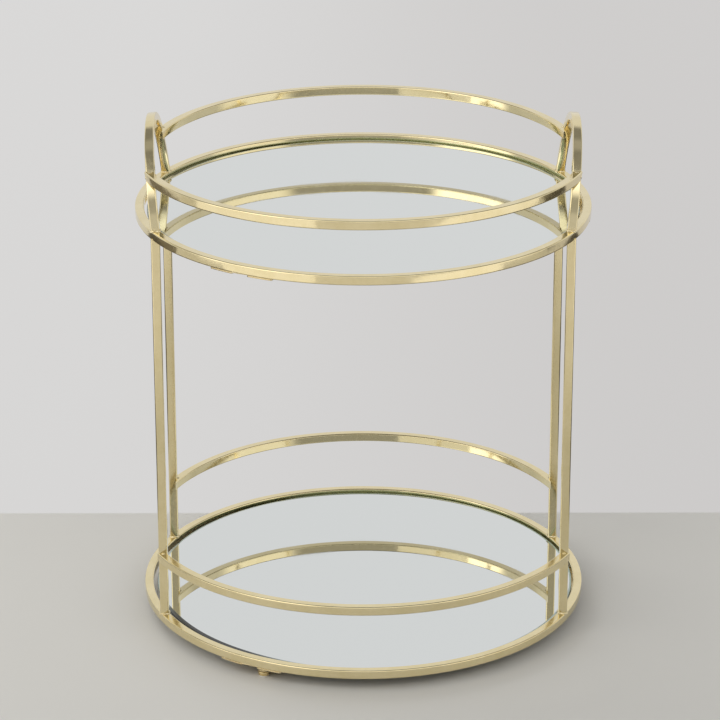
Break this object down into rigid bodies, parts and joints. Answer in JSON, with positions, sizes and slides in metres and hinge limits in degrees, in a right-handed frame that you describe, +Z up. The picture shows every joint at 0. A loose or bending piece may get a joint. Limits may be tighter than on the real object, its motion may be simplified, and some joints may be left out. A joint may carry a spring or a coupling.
{
  "type": "two-tier round serving stand",
  "caption": "Round two-tier bar stand in pale gold square bar, with mirrored trays, guard rails and arched carrying handles.",
  "frame": {"origin": "on the floor plane, on the vertical centre line of the two tray rings", "axes": "+Z up; the handles stand on the -X and +X sides; -Y is the front, where the rails butt on the outside of the handles and legs"},
  "size_m": [0.4049, 0.405, 0.4626],
  "materials": {
    "gold_bar": "polished pale gold plating on steel bar",
    "gold_plate": "satin pale gold plating on steel plate",
    "gold_foot": "polished pale gold plating",
    "weld_bead": "ground and plated weld metal",
    "mirror_glass": "silvered float glass with a ground edge",
    "mirror_backing": "matte grey mirror backing paint",
    "soft_pad": "soft translucent bumper",
    "white_nylon": "matte white nylon"
  },
  "bodies": {
    "frame": {"lower_tray_ring": "gold_bar", "upper_tray_ring": "gold_bar", "leg_front_left": "gold_bar", "leg_front_right": "gold_bar", "leg_back_left": "gold_bar", "leg_back_right": "gold_bar", "handle_left": "gold_bar", "handle_right": "gold_bar", "upper_rail_front": "gold_bar", "upper_rail_back": "gold_bar", "lower_rail_front": "gold_bar", "lower_rail_back": "gold_bar", "lower_mirror_glass": "mirror_glass", "upper_mirror_glass": "mirror_glass", "lower_mirror_backing": "mirror_backing", "upper_mirror_backing": "mirror_backing", "lower_mirror_pads": "soft_pad", "upper_mirror_pads": "soft_pad", "lower_bracket_1": "gold_plate", "lower_bracket_2": "gold_plate", "lower_bracket_3": "gold_plate", "upper_bracket_1": "gold_plate", "upper_bracket_2": "gold_plate", "upper_bracket_3": "gold_plate", "foot_boss_1": "gold_plate", "foot_boss_2": "gold_plate", "foot_boss_3": "gold_plate", "handle_base_welds": "weld_bead", "leg_base_welds": "weld_bead", "upper_rail_welds": "weld_bead", "lower_rail_welds": "weld_bead", "ring_seam_welds": "weld_bead"},
    "foot_1": {"glide_foot_1": "gold_foot", "glide_sole_1": "white_nylon"},
    "foot_2": {"glide_foot_2": "gold_foot", "glide_sole_2": "white_nylon"},
    "foot_3": {"glide_foot_3": "gold_foot", "glide_sole_3": "white_nylon"}
  },
  "joints": [
    {"name": "foot_1_screw", "type": "hinge", "parent": "frame", "child": "foot_1", "pos_m": [0.1908, 0.00866, 0.006], "axis": [0, 0, 1], "continuous": true},
    {"name": "foot_2_screw", "type": "hinge", "parent": "frame", "child": "foot_2", "pos_m": [-0.10291, 0.16091, 0.006], "axis": [0, 0, 1], "continuous": true},
    {"name": "foot_3_screw", "type": "hinge", "parent": "frame", "child": "foot_3", "pos_m": [-0.0879, -0.16957, 0.006], "axis": [0, 0, 1], "continuous": true}
  ]
}
